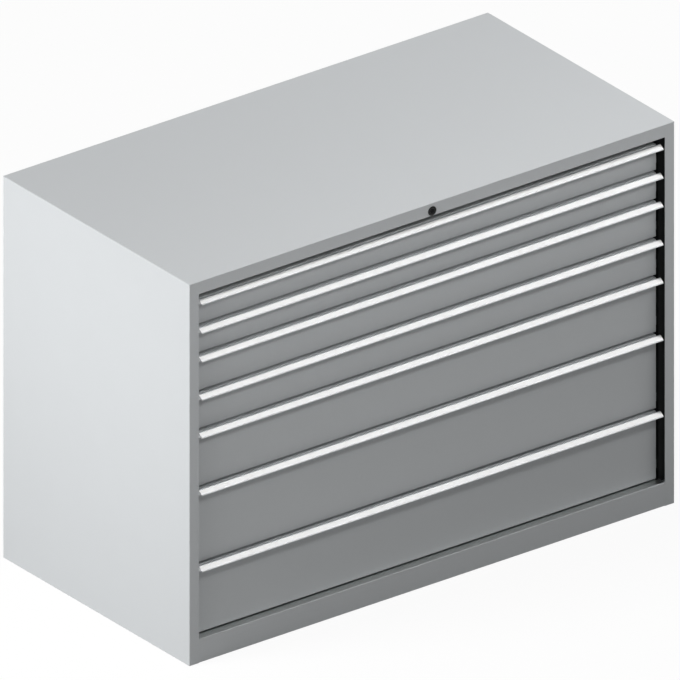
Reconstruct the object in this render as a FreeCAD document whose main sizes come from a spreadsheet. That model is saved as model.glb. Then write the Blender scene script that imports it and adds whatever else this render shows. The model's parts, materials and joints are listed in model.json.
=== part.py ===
"""Free-standing steel drawer cabinet with seven full-extension drawers and a central lock.

Millimetres. X runs across the cabinet, the front faces -Y and +Z is up. The origin is at the middle of the
floor area that the whole cabinet covers. Every housing piece is drawn from the middle of the housing's front
plane, and every drawer piece from the bottom of its own drawer.
"""
import FreeCAD, Part
import os
import re
import Sketcher

SIZES = {
    # housing
    "cabinet_width": 1431.0,
    "cabinet_depth": 725.0,
    "cabinet_height": 1000.0,
    "shell_sheet": 1.25,
    "corner_return": 28.0,
    "rear_return": 20.0,
    "panel_flange": 15.0,
    "rail_height": 34.0,
    "head_room": 50.0,
    "rail_shelf": 31.0,
    "plinth_height": 62.0,
    "plinth_fold": 24.0,
    "floor_height": 50.0,
    "frame_sheet": 1.5,
    # slotted uprights
    "upright_reach": 20.75,
    "upright_depth": 50.0,
    "slot_pitch": 25.0,
    "slot_width": 14.0,
    "slot_height": 4.0,
    "slot_play": 0.5,
    # telescopic runners
    "rail_web": 2.0,
    "rail_flange": 11.5,
    "roller_radius": 9.0,
    "roller_width": 11.5,
    "roller_play": 0.3,
    "pass_gap": 2.0,
    "cage_sheet": 1.5,
    "cage_height": 14.0,
    "cage_length": 400.0,
    "cage_front": 60.0,
    "runner_gap": 2.7,
    "runner_web": 2.0,
    "flange_gap": 1.5,
    "runner_height": 18.0,
    "runner_tail": 19.0,
    "rail_front": 42.0,
    "rail_rear_gap": 33.0,
    # drawers, whose heights share out the room between the lowest base and the head room
    "lowest_base": 75.0,
    "lowest_drop": 11.0,
    "drawer_1_height": 75.0,
    "drawer_2_height": 75.0,
    "drawer_3_height": 100.0,
    "drawer_4_height": 100.0,
    "drawer_5_height": 150.0,
    "drawer_6_height": 200.0,
    "drawer_7_height": 175.0,
    "drawer_gap": 2.5,
    "front_hang": 1.5,
    "front_top_drop": 6.0,
    "side_gap": 6.5,
    "front_recess": 26.0,
    "front_sheet": 1.2,
    "front_depth": 14.0,
    "tray_sheet": 1.0,
    "tray_length": 640.0,
    "tray_floor": 4.0,
    "tray_top_gap": 12.0,
    # handles
    "handle_proud": 3.0,
    "handle_wall": 2.0,
    "label_width": 14.7,
    "label_tilt": 35.3,
    "label_lip": 1.2,
    "label_sheet": 0.8,
    "label_play": 0.1,
    "handle_ledge": 2.0,
    "handle_web_drop": 8.5,
    "handle_foot": 12.0,
    "finger_lip": 2.5,
    # central lock
    "lock_drop": 20.0,
    "lock_disc_radius": 12.0,
    "lock_disc_proud": 1.5,
    "lock_barrel_radius": 9.0,
    "lock_barrel_length": 22.0,
    "lock_play": 0.3,
    "plug_radius": 6.0,
    "key_slot_width": 1.4,
    "key_slot_height": 7.0,
    "key_slot_depth": 8.0,
    "crank_radius": 6.0,
    "crank_rim": 3.0,
    "crank_sheet": 3.0,
    "crank_pin_radius": 2.0,
    "slide_play": 0.6,
    "bar_sheet": 3.0,
    "bar_width": 12.0,
    "bar_offset": 20.0,
    "bar_top_drop": 20.0,
    "bar_foot": 20.0,
    "bar_pin_drop": 26.0,
    "bar_pin_radius": 2.5,
    "rod_height": 28.0,
    "rod_end": 11.5,
    "rod_past_lock": 12.0,
    "finger_height": 5.0,
    "finger_level": 33.0,
    "finger_reach": 44.0,
    "finger_play": 1.0,
    # how far a cutting tool runs past the face it opens
    "overrun": 5.0,
}

DERIVED = {
    "front_y": "(handle_proud - cabinet_depth) / 2",
    "half_width": "cabinet_width / 2",
    "rear_face": "cabinet_depth - shell_sheet",
    "under_top": "cabinet_height - shell_sheet",
    "upright_face": "shell_sheet + upright_reach",
    "roller_start": "corner_return + pass_gap",
    "cage_start": "roller_start + roller_width + roller_play",
    "runner_start": "upright_face + rail_web + rail_flange + flange_gap",
    "runner_web_start": "cage_start + cage_sheet + runner_gap",
    "tray_start": "runner_web_start + runner_web",
    "tray_front": "front_recess + front_sheet",
    "runner_front": "front_recess + front_depth",
    "runner_length": "tray_front + tray_length + runner_tail - runner_front",
    "track": "roller_radius + roller_play",
    "front_half": "half_width - corner_return - side_gap",
    "rail_length": "rear_face - rail_rear_gap - rail_front",
    "rear_upright_plane": "rear_face - rail_rear_gap - upright_depth",
    "stack_room": "cabinet_height - head_room - lowest_base",
    "lock_z": "cabinet_height - lock_drop",
    "crank_plane": "lock_barrel_length + lock_play",
    "rod_plane": "crank_plane + crank_sheet + lock_play",
    "bar_plane": "rod_plane + bar_sheet + lock_play",
    "upright_plane": "bar_plane + bar_sheet + lock_play",
    "stroke": "2 * crank_radius * sin(45)",
    "label_sin": "sin(label_tilt)",
    "label_cos": "cos(label_tilt)",
}

DRAWERS = range(1, 8)
# when a carriage is pulled out, its middle roller holds the cabinet rail and the drawer's runner together
CAGE_ROLLER_SHARES = (0.04, 0.76, 0.96)
LEFT, RIGHT = -1, 1

doc = FreeCAD.newDocument("drawer_cabinet")
sheet = doc.addObject("Spreadsheet::Sheet", "sizes")
nodes = {}


def fill_sheet():
    """Write each driving size and its name into the sheet."""
    for row, (name, size) in enumerate(SIZES.items(), start=1):
        sheet.set(f"A{row}", name)
        sheet.set(f"B{row}", str(size))
        sheet.setAlias(f"B{row}", name)
    doc.recompute()


def formula(text):
    """Turn the size names in a plain formula into references to the sheet."""

    def swap(match):
        word = match.group()
        if word in SIZES:
            return f"sizes.{word}"
        if word in DERIVED:
            return f"({formula(DERIVED[word])})"
        return word

    return re.sub(r"[a-z]\w*", swap, str(text))


def number(text):
    """Value of a formula now, for a sketch's first guess."""
    return float(sheet.evalExpression(formula(text)))


def bind(target, prop, text):
    """Bind a property to a formula."""
    target.setExpression(prop, formula(text))


def move(target, x=0, y=0, z=0):
    """Bind an object's place to three formulas."""
    for axis, text in zip("xyz", (x, y, z)):
        bind(target, f"Placement.Base.{axis}", text)


def drawer_height(drawer):
    """Formula for the height of a drawer's place in the stack: its share of the room."""
    whole = " + ".join(f"drawer_{other}_height" for other in DRAWERS)
    return f"(drawer_{drawer}_height * stack_room / ({whole}))"


def drawer_base(drawer):
    """Formula for the bottom of a drawer's place in the stack."""
    return " + ".join(["lowest_base"] + [drawer_height(other) for other in DRAWERS if other > drawer])


def origin_feature(body, role):
    """One of a body's own origin planes or axes."""
    return next(item for item in body.Origin.OriginFeatures if item.Role == role)


def new_body(name):
    """An empty body with its own label."""
    body = doc.addObject("PartDesign::Body", name)
    body.Label = name
    return body


def sketch_on(body, plane):
    """An empty sketch on one of the body's origin planes."""
    sketch = body.newObject("Sketcher::SketchObject", f"{body.Name}_outline")
    sketch.AttachmentSupport = [(origin_feature(body, plane), "")]
    sketch.MapMode = "FlatFace"
    return sketch


def polygon(body, plane, corners):
    """Closed outline whose corners follow the formulas given as (across, up) pairs."""
    sketch = sketch_on(body, plane)
    points = [FreeCAD.Vector(number(across), number(up), 0) for across, up in corners]
    count = len(corners)
    for i in range(count):
        sketch.addGeometry(Part.LineSegment(points[i], points[(i + 1) % count]), False)
    for i in range(count):
        sketch.addConstraint(Sketcher.Constraint("Coincident", i, 2, (i + 1) % count, 1))
    rules = (("DistanceX", "Vertical", -2), ("DistanceY", "Horizontal", -1))
    for i, corner in enumerate(corners):
        for side, (distance, level, axis) in enumerate(rules):
            text = str(corner[side])
            if text == "0":
                sketch.addConstraint(Sketcher.Constraint("PointOnObject", i, 1, axis))
            elif i and text == str(corners[i - 1][side]):
                sketch.addConstraint(Sketcher.Constraint(level, i - 1))
            else:
                size = points[i][side]
                at = sketch.addConstraint(Sketcher.Constraint(distance, -1, 1, i, 1, size))
                bind(sketch, f"Constraints[{at}]", text)
    return sketch


def circle(body, plane, across, up, radius):
    """Circle whose centre and radius follow formulas."""
    sketch = sketch_on(body, plane)
    centre = FreeCAD.Vector(number(across), number(up), 0)
    sketch.addGeometry(Part.Circle(centre, FreeCAD.Vector(0, 0, 1), number(radius)), False)
    at = sketch.addConstraint(Sketcher.Constraint("Radius", 0, number(radius)))
    bind(sketch, f"Constraints[{at}]", radius)
    for kind, axis, text, size in (("DistanceX", -2, across, centre.x), ("DistanceY", -1, up, centre.y)):
        if str(text) == "0":
            sketch.addConstraint(Sketcher.Constraint("PointOnObject", 0, 3, axis))
        else:
            at = sketch.addConstraint(Sketcher.Constraint(kind, -1, 1, 0, 3, size))
            bind(sketch, f"Constraints[{at}]", text)
    return sketch


def pad(body, sketch, length, backwards=False, middle=False):
    """Pad a sketch by a formula. A sketch on the front plane runs into the cabinet when backwards is set."""
    feature = body.newObject("PartDesign::Pad", f"{body.Name}_pad")
    feature.Profile = sketch
    bind(feature, "Length", length)
    feature.Reversed = backwards
    feature.Midplane = middle
    return feature


def pocket(body, sketch, length, backwards=False):
    """Cut a sketch out of the body by a formula, and check that it removed something."""
    doc.recompute()
    before = body.Shape.Volume
    feature = body.newObject("PartDesign::Pocket", f"{body.Name}_pocket")
    feature.Profile = sketch
    bind(feature, "Length", length)
    feature.Reversed = backwards
    doc.recompute()
    if not body.Shape.Volume < before:
        raise ValueError(f"{body.Name}: the pocket cuts nothing")
    return feature


def mirrored(side, corners):
    """Corners of a left-hand outline, turned over for the right side."""
    return [(f"{-side} * ({across})", up) for across, up in corners]


def box(name, length, width, height, x, y, z):
    """Box bound to formulas."""
    solid = doc.addObject("Part::Box", name)
    bind(solid, "Length", length)
    bind(solid, "Width", width)
    bind(solid, "Height", height)
    move(solid, x, y, z)
    return solid


def cylinder(name, radius, length, x, y, z, axis):
    """Cylinder along a row axis, bound to formulas."""
    solid = doc.addObject("Part::Cylinder", name)
    bind(solid, "Radius", radius)
    bind(solid, "Height", length)
    solid.Placement.Rotation = FreeCAD.Rotation(FreeCAD.Vector(0, 0, 1), axis)
    move(solid, x, y, z)
    return solid


def cut(name, base, tool):
    """Base with the tool taken out."""
    result = doc.addObject("Part::Cut", name)
    result.Base = base
    result.Tool = tool
    return result


def fuse(name, pieces):
    """One solid from several that meet."""
    result = doc.addObject("Part::MultiFuse", name)
    result.Shapes = pieces
    result.Refine = True
    return result


def group(name, pieces):
    """Several separate solids in one node."""
    result = doc.addObject("Part::Compound", name)
    result.Links = pieces
    return result


def keep(name, piece):
    """Register a finished sub-part under its node name."""
    piece.Label = name
    nodes[name] = piece


def channel(web, reach, wall):
    """C outline: a web of the given height, with two flanges that reach towards +across."""
    half = f"({web}) / 2"
    return [
        (0, f"-{half}"), (reach, f"-{half}"), (reach, f"-{half} + {wall}"), (wall, f"-{half} + {wall}"),
        (wall, f"{half} - {wall}"), (reach, f"{half} - {wall}"), (reach, half), (0, half),
    ]


def side_panel(name, side):
    """Folded side with the return that shows as the front upright, and a narrower one behind."""
    body = new_body(name)
    corners = [
        (0, 0), ("corner_return", 0), ("corner_return", "shell_sheet"), ("shell_sheet", "shell_sheet"),
        ("shell_sheet", "rear_face"), ("rear_return", "rear_face"), ("rear_return", "cabinet_depth"),
        (0, "cabinet_depth"),
    ]
    pad(body, polygon(body, "XY_Plane", mirrored(side, corners)), "under_top")
    move(body, f"{side} * half_width", "front_y")
    keep(name, body)


def back_panel():
    """Folded sheet inside the rear returns, stiffened by a fold at the top and at the floor."""
    body = new_body("back_panel")
    corners = [
        (0, 0), ("-panel_flange", 0), ("-panel_flange", "shell_sheet"), ("-shell_sheet", "shell_sheet"),
        ("-shell_sheet", "under_top - shell_sheet"), ("-panel_flange", "under_top - shell_sheet"),
        ("-panel_flange", "under_top"), (0, "under_top"),
    ]
    pad(body, polygon(body, "YZ_Plane", corners), "cabinet_width - 2 * shell_sheet", middle=True)
    move(body, 0, "front_y + rear_face")
    keep("back_panel", body)


def top_panel():
    """Plain top with a flange down each side panel's inner face."""
    body = new_body("top_panel")
    plate = [
        ("-half_width", 0), ("half_width", 0),
        ("half_width", "cabinet_depth"), ("-half_width", "cabinet_depth"),
    ]
    pad(body, polygon(body, "XY_Plane", plate), "shell_sheet")
    for side in (LEFT, RIGHT):
        outer = f"{side} * (half_width - shell_sheet)"
        inner = f"{side} * (half_width - 2 * shell_sheet)"
        rear = "rear_face - shell_sheet - panel_flange"
        flange = [(outer, "shell_sheet"), (inner, "shell_sheet"), (inner, rear), (outer, rear)]
        pad(body, polygon(body, "XY_Plane", flange), "panel_flange", backwards=True)
    move(body, 0, "front_y", "under_top")
    keep("top_panel", body)


def floor_panel():
    """Floor between the side panels, with a flange down each side."""
    body = new_body("floor_panel")
    edge = "half_width - shell_sheet"
    inner = "half_width - 2 * shell_sheet"
    corners = [
        (f"-({edge})", "-panel_flange"), (f"-({inner})", "-panel_flange"), (f"-({inner})", "-shell_sheet"),
        (inner, "-shell_sheet"), (inner, "-panel_flange"), (edge, "-panel_flange"), (edge, 0),
        (f"-({edge})", 0),
    ]
    length = "rear_face - shell_sheet - plinth_fold - frame_sheet"
    pad(body, polygon(body, "XZ_Plane", corners), length, backwards=True)
    move(body, 0, "front_y + plinth_fold + frame_sheet", "floor_height")
    keep("floor_panel", body)


def front_plinth():
    """Sill below the last drawer: a channel lying on its side, open to the back."""
    body = new_body("front_plinth")
    outline = channel("plinth_height", "plinth_fold", "frame_sheet")
    length = "cabinet_width - 2 * corner_return"
    pad(body, polygon(body, "YZ_Plane", outline), length, middle=True)
    move(body, 0, "front_y", "plinth_height / 2")
    keep("front_plinth", body)


def top_front_rail():
    """Angle above the first drawer. Its shelf carries the lock rod, and the lock goes through its face."""
    body = new_body("top_front_rail")
    height = "rail_height - shell_sheet"
    corners = [
        (0, 0), ("rail_shelf", 0), ("rail_shelf", "frame_sheet"), ("frame_sheet", "frame_sheet"),
        ("frame_sheet", height), (0, height),
    ]
    length = "cabinet_width - 2 * corner_return"
    pad(body, polygon(body, "YZ_Plane", corners), length, middle=True)
    hole = circle(body, "XZ_Plane", 0, "rail_height - lock_drop", "lock_barrel_radius + lock_play")
    pocket(body, hole, "frame_sheet + overrun", backwards=False)
    move(body, 0, "front_y", "cabinet_height - rail_height")
    keep("top_front_rail", body)


def slot_row(body, side, drawer):
    """Slots of one drawer's bay, evenly spaced up from the one that takes the tongue of its cabinet rail."""
    near = "upright_depth / 2 - slot_width / 2"
    far = f"{near} + slot_width"
    low = f"{drawer_base(drawer)} + runner_height - floor_height - slot_height / 2"
    high = f"{low} + slot_height"
    slot = polygon(body, "YZ_Plane", [(near, low), (far, low), (far, high), (near, high)])
    first = pocket(body, slot, "upright_face + overrun", backwards=side < 0)
    count = round(number(f"drawer_{drawer}_height / slot_pitch"))
    row = body.newObject("PartDesign::LinearPattern", f"{body.Name}_slots")
    row.Originals = [first]
    row.Direction = (origin_feature(body, "Z_Axis"), [""])
    row.Occurrences = count
    bind(row, "Length", f"{drawer_height(drawer)} * {count - 1} / {count}")
    body.Tip = row


def upright(name, side, y):
    """Slotted channel inside a corner."""
    body = new_body(name)
    corners = [
        ("shell_sheet", 0), ("upright_face", 0), ("upright_face", "upright_depth"),
        ("shell_sheet", "upright_depth"), ("shell_sheet", "upright_depth - frame_sheet"),
        ("upright_face - frame_sheet", "upright_depth - frame_sheet"),
        ("upright_face - frame_sheet", "frame_sheet"), ("shell_sheet", "frame_sheet"),
    ]
    height = "under_top - panel_flange - floor_height"
    pad(body, polygon(body, "XY_Plane", mirrored(side, corners)), height)
    for drawer in DRAWERS:
        slot_row(body, side, drawer)
    move(body, f"{side} * half_width", y, "floor_height")
    keep(name, body)


def cabinet_rail(name, side, drawer):
    """Fixed rail: a channel open towards the drawer, hooked into both uprights by a tongue."""
    body = new_body(f"{name}_{drawer}")
    web = "2 * track + 2 * rail_web"
    profile = polygon(body, "XZ_Plane", mirrored(side, channel(web, "rail_web + rail_flange", "rail_web")))
    pad(body, profile, "rail_length", backwards=True)
    tongue_wide = "slot_width - 2 * slot_play"
    tongue_high = "slot_height - 2 * slot_play"
    for seat in ("upright_plane + upright_depth / 2", "rear_upright_plane + upright_depth / 2"):
        start = f"{seat} - rail_front - ({tongue_wide}) / 2"
        tongue = [
            (start, f"-({tongue_high}) / 2"), (f"{start} + {tongue_wide}", f"-({tongue_high}) / 2"),
            (f"{start} + {tongue_wide}", f"({tongue_high}) / 2"), (start, f"({tongue_high}) / 2"),
        ]
        pad(body, polygon(body, "YZ_Plane", tongue), "2 * frame_sheet", backwards=side < 0)
    level = f"{drawer_base(drawer)} + runner_height"
    move(body, f"{side} * (half_width - upright_face)", "front_y + rail_front", level)
    return body


def cabinet_rails(name, side):
    """The fixed rails of one side, a separate piece for each drawer."""
    keep(name, group(name, [cabinet_rail(f"{name}_rail", side, drawer) for drawer in DRAWERS]))


def lock_housing():
    """Round collar on the rail's face, with a barrel through the rail."""
    body = new_body("lock_housing")
    bore = "plug_radius + lock_play"
    corners = [
        (bore, "-lock_disc_proud"), ("lock_disc_radius", "-lock_disc_proud"), ("lock_disc_radius", 0),
        ("lock_barrel_radius", 0), ("lock_barrel_radius", "lock_barrel_length"),
        (bore, "lock_barrel_length"),
    ]
    sketch = polygon(body, "XY_Plane", corners)
    turned = body.newObject("PartDesign::Revolution", "lock_housing_turned")
    turned.Profile = sketch
    turned.ReferenceAxis = (sketch, ["V_Axis"])
    turned.Angle = 360
    move(body, 0, "front_y", "lock_z")
    keep("lock_housing", body)


def lock_cylinder():
    """Plug that the key turns, with its key slot."""
    body = new_body("lock_cylinder")
    plug = pad(body, circle(body, "XZ_Plane", 0, 0, "plug_radius"), "crank_plane + lock_disc_proud", True)
    plug.Label = "plug"
    half_wide = "key_slot_width / 2"
    half_high = "key_slot_height / 2"
    corners = [
        (f"-{half_wide}", f"-{half_high}"), (half_wide, f"-{half_high}"),
        (half_wide, half_high), (f"-{half_wide}", half_high),
    ]
    pocket(body, polygon(body, "XZ_Plane", corners), "key_slot_depth", backwards=False)
    move(body, 0, "front_y - lock_disc_proud", "lock_z")
    keep("lock_cylinder", body)


def lock_cam():
    """Crank disc on the plug's back end. Its pin stands 45 degrees to the right of straight down at rest."""
    body = new_body("lock_cam")
    pad(body, circle(body, "XZ_Plane", 0, 0, "crank_radius + crank_rim"), "crank_sheet", True)
    pin = circle(body, "XZ_Plane", "stroke / 2", "-stroke / 2", "crank_pin_radius")
    pad(body, pin, "crank_sheet + lock_play + bar_sheet", True)
    move(body, 0, "front_y + crank_plane", "lock_z")
    keep("lock_cam", body)


def lock_rod():
    """Flat rod on the rail's shelf. The crank pin works in its upright slot, the bar's in its sloped one."""
    left = "rod_end - half_width"
    low = "cabinet_height - rail_height + frame_sheet + lock_play"
    length = "half_width - rod_end + stroke / 2 + rod_past_lock"
    blank = box("rod_blank", length, "bar_sheet", "rod_height", left, "front_y + rod_plane", low)
    through = "bar_sheet + 2 * overrun"
    plane = "front_y + rod_plane - overrun"
    pin = "crank_pin_radius + slide_play"
    upright_slot = box(
        "rod_crank_slot", f"2 * ({pin})", through, f"crank_radius - stroke / 2 + 2 * ({pin})",
        f"stroke / 2 - ({pin})", plane, f"lock_z - crank_radius - ({pin})",
    )
    sloped = "bar_pin_radius + slide_play"
    sloped_slot = box(
        "rod_bar_slot", f"2 * crank_radius + 2 * ({sloped})", through, f"2 * ({sloped})",
        "bar_offset - half_width", plane, f"cabinet_height - bar_pin_drop - 2 * ({sloped}) * sin(45)",
    )
    sloped_slot.Placement.Rotation = FreeCAD.Rotation(FreeCAD.Vector(0, 1, 0), -45)
    keep("lock_rod", cut("lock_rod", cut("rod_slotted", blank, upright_slot), sloped_slot))


def locking_bar():
    """Upright bar with a finger for each drawer and a pin for the rod's sloped slot."""
    left = "bar_offset - bar_width / 2 - half_width"
    middle = "bar_offset - half_width"
    foot = "lowest_base + bar_foot"
    plane = "front_y + bar_plane"
    height = f"cabinet_height - bar_top_drop - ({foot})"
    pieces = [box("bar_blank", "bar_width", "bar_sheet", height, left, plane, foot)]
    reach = "finger_reach - bar_offset"
    for drawer in DRAWERS:
        level = f"{drawer_base(drawer)} + finger_level"
        pieces.append(box(f"finger_{drawer}", reach, "bar_sheet", "finger_height", middle, plane, level))
    length = "bar_sheet + lock_play + bar_sheet"
    level = "cabinet_height - bar_pin_drop"
    forwards = FreeCAD.Vector(0, -1, 0)
    pieces.append(
        cylinder("bar_pin", "bar_pin_radius", length, middle, f"{plane} + bar_sheet", level, forwards)
    )
    keep("locking_bar", fuse("locking_bar", pieces))


def front_low(drawer):
    """Height of a front's lower edge above its drawer's base. The last front hangs down to the sill."""
    return "-lowest_drop" if drawer == DRAWERS[-1] else "-front_hang"


def drawer_front(drawer):
    """Folded pan below its handle, open to the back. Its left fold is notched for the finger of the lock."""
    name = f"drawer_{drawer}_front"
    low = front_low(drawer)
    height = f"{drawer_height(drawer)} - drawer_gap - front_top_drop - ({low})"
    base = drawer_base(drawer)
    outer = box(
        f"{name}_blank", "2 * front_half", "front_depth", height,
        "-front_half", "front_y + front_recess", f"{base} + ({low})",
    )
    hollow = box(
        f"{name}_hollow", "2 * (front_half - front_sheet)", "front_depth + overrun",
        f"{height} - 2 * front_sheet", "front_sheet - front_half", "front_y + front_recess + front_sheet",
        f"{base} + ({low}) + front_sheet",
    )
    entry_low = f"{base} + finger_level - finger_play"
    opening = "finger_height + 2 * finger_play"
    start = "front_y + bar_plane - finger_play"
    across = "-front_half - overrun"
    wide = "front_sheet + 2 * overrun"
    entry = box(f"{name}_notch", wide, "cabinet_depth", opening, across, start, entry_low)
    trap = box(
        f"{name}_trap", wide, "bar_sheet + 2 * finger_play", f"{opening} + stroke", across, start, entry_low,
    )
    keep(name, cut(name, cut(f"{name}_pan", outer, hollow), fuse(f"{name}_notches", [entry, trap])))


def drawer_tray(drawer):
    """Open sheet-steel box between the runners."""
    name = f"drawer_{drawer}_tray"
    base = drawer_base(drawer)
    half = "half_width - tray_start"
    height = f"{drawer_height(drawer)} - tray_top_gap - tray_floor"
    outer = box(
        f"{name}_blank", f"2 * ({half})", "tray_length", height,
        f"-({half})", "front_y + tray_front", f"{base} + tray_floor",
    )
    hollow = box(
        f"{name}_hollow", f"2 * ({half} - tray_sheet)", "tray_length - 2 * tray_sheet",
        f"{height} + overrun", f"tray_sheet - ({half})", "front_y + tray_front + tray_sheet",
        f"{base} + tray_floor + tray_sheet",
    )
    keep(name, cut(name, outer, hollow))


def on_label(along, above):
    """Place on the tilted label face: along it from its front edge, and above the lips' tops."""
    across = f"-handle_proud + ({along}) * label_cos - ({above}) * label_sin"
    up = f"-(label_width - ({along})) * label_sin + ({above}) * label_cos"
    return across, up


def drawer_handle(drawer):
    """Extruded handle: a tilted label channel, a finger lip below it and a foot on the drawer's front."""
    name = f"drawer_{drawer}_handle"
    body = new_body(name)
    back = "-handle_proud + label_width * label_cos"
    ledge = f"{back} + handle_ledge"
    web = "-handle_web_drop"
    front_wall = "-handle_proud + handle_wall"
    floor = "-handle_wall / label_cos"
    lip_low = "-label_width * label_sin - finger_lip"
    corners = [
        on_label(0, 0),
        on_label("label_lip", 0),
        on_label("label_lip", "-label_sheet"),
        on_label("label_width - label_lip", "-label_sheet"),
        on_label("label_width - label_lip", 0),
        (back, 0),
        (ledge, 0),
        (ledge, web),
        ("front_recess", web),
        ("front_recess", f"{web} - handle_foot - handle_wall"),
        ("front_recess - handle_wall", f"{web} - handle_foot - handle_wall"),
        ("front_recess - handle_wall", f"{web} - handle_wall"),
        (f"{ledge} - handle_wall", f"{web} - handle_wall"),
        (f"{ledge} - handle_wall", f"{floor} - (handle_wall - handle_ledge) * label_sin"),
        (front_wall, f"{floor} - (label_width * label_cos - handle_wall) * label_sin / label_cos"),
        (front_wall, lip_low),
        ("-handle_proud", lip_low),
    ]
    pad(body, polygon(body, "YZ_Plane", corners), "2 * front_half", middle=True)
    move(body, 0, "front_y", f"{drawer_base(drawer)} + {drawer_height(drawer)} - drawer_gap")
    keep(name, body)


def drawer_label(drawer):
    """Label strip that lies in the handle's channel."""
    name = f"drawer_{drawer}_label"
    body = new_body(name)
    start = "label_lip + label_play"
    end = "label_width - label_lip - label_play"
    top = "-label_play"
    corners = [
        on_label(start, "-label_sheet"), on_label(end, "-label_sheet"),
        on_label(end, top), on_label(start, top),
    ]
    pad(body, polygon(body, "YZ_Plane", corners), "2 * front_half", middle=True)
    move(body, 0, "front_y", f"{drawer_base(drawer)} + {drawer_height(drawer)} - drawer_gap")
    keep(name, body)


def drawer_runners(drawer):
    """Pair of channels on the tray's sides, open towards the cabinet rails."""
    name = f"drawer_{drawer}_runners"
    pair = []
    for side in (LEFT, RIGHT):
        body = new_body(f"{name}_{'left' if side < 0 else 'right'}")
        reach = "tray_start - runner_start"
        outline = channel("2 * track + 2 * runner_web", reach, "runner_web")
        pad(body, polygon(body, "XZ_Plane", mirrored(-side, outline)), "runner_length", backwards=True)
        level = f"{drawer_base(drawer)} + runner_height"
        move(body, f"{side} * (half_width - tray_start)", "front_y + runner_front", level)
        pair.append(body)
    keep(name, group(name, pair))


def drawer_carriages(drawer):
    """Pair of carriage bars, whose rollers run between the cabinet rails and the drawer's runners."""
    name = f"drawer_{drawer}_carriages"
    level = f"{drawer_base(drawer)} + runner_height"
    pieces = []
    for side in (LEFT, RIGHT):
        hand = f"{name}_{'left' if side < 0 else 'right'}"
        bar = new_body(f"{hand}_bar")
        corners = [
            (0, "-cage_height / 2"), ("cage_length", "-cage_height / 2"),
            ("cage_length", "cage_height / 2"), (0, "cage_height / 2"),
        ]
        pad(bar, polygon(bar, "YZ_Plane", corners), "cage_sheet", backwards=side > 0)
        move(bar, f"{side} * (half_width - cage_start)", "front_y + cage_front", level)
        pieces.append(bar)
        x = f"{side} * (half_width - roller_start)"
        inwards = FreeCAD.Vector(-side, 0, 0)
        for place in CAGE_ROLLER_SHARES:
            y = f"front_y + cage_front + {place} * cage_length"
            pieces.append(cylinder(f"{hand}_roller", "roller_radius", "roller_width", x, y, level, inwards))
    keep(name, group(name, pieces))


def build_housing():
    """The welded housing with what is fixed to it."""
    side_panel("left_side_panel", LEFT)
    side_panel("right_side_panel", RIGHT)
    back_panel()
    top_panel()
    floor_panel()
    front_plinth()
    top_front_rail()
    upright("front_left_upright", LEFT, "front_y + upright_plane")
    upright("front_right_upright", RIGHT, "front_y + upright_plane")
    upright("rear_left_upright", LEFT, "front_y + rear_upright_plane")
    upright("rear_right_upright", RIGHT, "front_y + rear_upright_plane")
    cabinet_rails("cabinet_rails_left", LEFT)
    cabinet_rails("cabinet_rails_right", RIGHT)
    lock_housing()


def build_lock():
    """The lock's moving pieces."""
    lock_cylinder()
    lock_cam()
    lock_rod()
    locking_bar()


def build_drawers():
    """The same six sub-parts for each drawer."""
    for drawer in DRAWERS:
        drawer_tray(drawer)
        drawer_front(drawer)
        drawer_handle(drawer)
        drawer_label(drawer)
        drawer_runners(drawer)
        drawer_carriages(drawer)


def write_parts():
    """Check every object, then write each node's file."""
    doc.recompute()
    failed = [item.Name for item in doc.Objects if "Invalid" in item.State or "Error" in item.State]
    if failed:
        raise ValueError(f"failed objects: {failed}")
    for name, piece in nodes.items():
        if piece.Shape.isNull() or not piece.Shape.isValid():
            raise ValueError(f"{name}: the shape isn't valid")
    os.makedirs("parts", exist_ok=True)
    for name, piece in nodes.items():
        piece.Shape.exportStep(f"parts/{name}.step")
    print(len(nodes), "nodes", sum(len(piece.Shape.Solids) for piece in nodes.values()), "solids")


fill_sheet()
build_housing()
build_lock()
build_drawers()
write_parts()
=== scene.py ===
import json
import math

import bmesh
import bpy
from bpy.props import FloatProperty, FloatVectorProperty, PointerProperty
from mathutils import Matrix, Vector

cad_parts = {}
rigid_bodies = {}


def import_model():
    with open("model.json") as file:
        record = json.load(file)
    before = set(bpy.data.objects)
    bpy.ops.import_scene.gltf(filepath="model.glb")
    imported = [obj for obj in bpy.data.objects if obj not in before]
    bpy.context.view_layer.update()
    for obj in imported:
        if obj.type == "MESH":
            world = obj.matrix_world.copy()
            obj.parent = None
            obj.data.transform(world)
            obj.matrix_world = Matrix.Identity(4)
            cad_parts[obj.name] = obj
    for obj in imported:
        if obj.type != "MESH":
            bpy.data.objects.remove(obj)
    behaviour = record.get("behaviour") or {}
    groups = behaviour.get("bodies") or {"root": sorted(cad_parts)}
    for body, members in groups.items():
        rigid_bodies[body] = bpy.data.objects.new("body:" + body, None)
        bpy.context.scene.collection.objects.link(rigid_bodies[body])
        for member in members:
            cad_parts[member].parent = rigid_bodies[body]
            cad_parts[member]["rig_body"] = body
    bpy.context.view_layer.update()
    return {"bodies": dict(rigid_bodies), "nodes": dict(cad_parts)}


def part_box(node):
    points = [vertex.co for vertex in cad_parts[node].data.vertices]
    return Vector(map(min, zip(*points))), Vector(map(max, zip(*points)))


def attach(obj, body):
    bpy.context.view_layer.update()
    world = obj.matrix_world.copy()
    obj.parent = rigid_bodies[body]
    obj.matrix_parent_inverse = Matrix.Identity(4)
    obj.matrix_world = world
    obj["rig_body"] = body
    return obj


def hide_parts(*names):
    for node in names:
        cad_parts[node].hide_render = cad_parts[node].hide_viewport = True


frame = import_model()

bl_info = {
    "name": "Steel drawer cabinet",
    "version": (1, 0, 0),
    "blender": (4, 5, 0),
    "location": "3D View > Sidebar > Cabinet",
    "description": "Dresses the packed model of a seven-drawer steel cabinet and sets up its studio",
    "category": "Object",
}

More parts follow.
